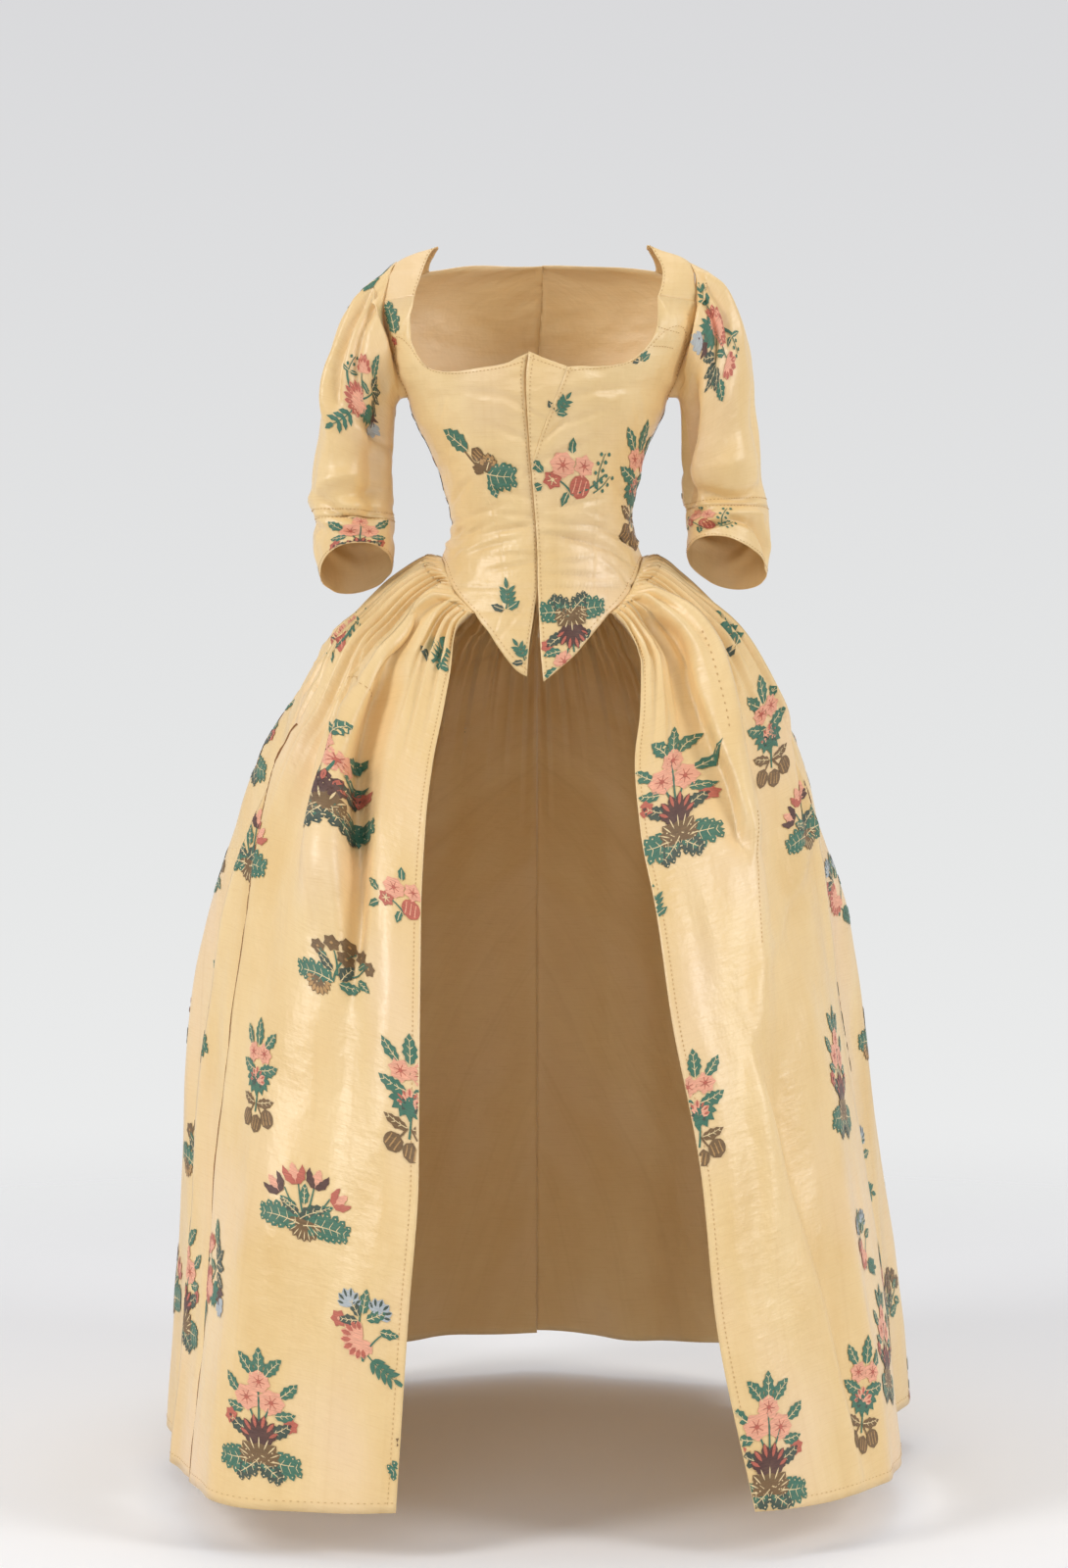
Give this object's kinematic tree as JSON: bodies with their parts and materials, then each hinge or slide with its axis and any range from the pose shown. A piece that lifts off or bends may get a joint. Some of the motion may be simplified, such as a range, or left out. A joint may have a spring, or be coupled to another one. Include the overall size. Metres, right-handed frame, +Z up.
{
  "type": "robe a l'anglaise",
  "caption": "Worn open gown of figured silk: fitted bodice meeting at centre front in two points, elbow sleeves and a full pleated skirt open in front.",
  "frame": {"origin": "between the two shoulder straps, at the height where the shoulders carry them", "axes": "+Z up, the gown faces -Y, +X towards its wearer's left"},
  "size_m": [0.8426, 0.9987, 1.3161],
  "materials": {
    "silk": "soft sheen of plain-woven silk"
  },
  "bodies": {
    "root": {"front_right": "silk", "front_left": "silk", "front_left_wedge": "silk", "side_right": "silk", "side_left": "silk", "back_right": "silk", "back_left": "silk", "strap_right": "silk", "strap_left": "silk", "sleeve_right": "silk", "sleeve_left": "silk", "sleeve_elbow_right": "silk", "sleeve_elbow_left": "silk", "skirt_front_right": "silk", "skirt_front_left": "silk", "skirt_side_right": "silk", "skirt_side_left": "silk", "skirt_back_right": "silk", "skirt_back_left": "silk"}
  },
  "joints": []
}
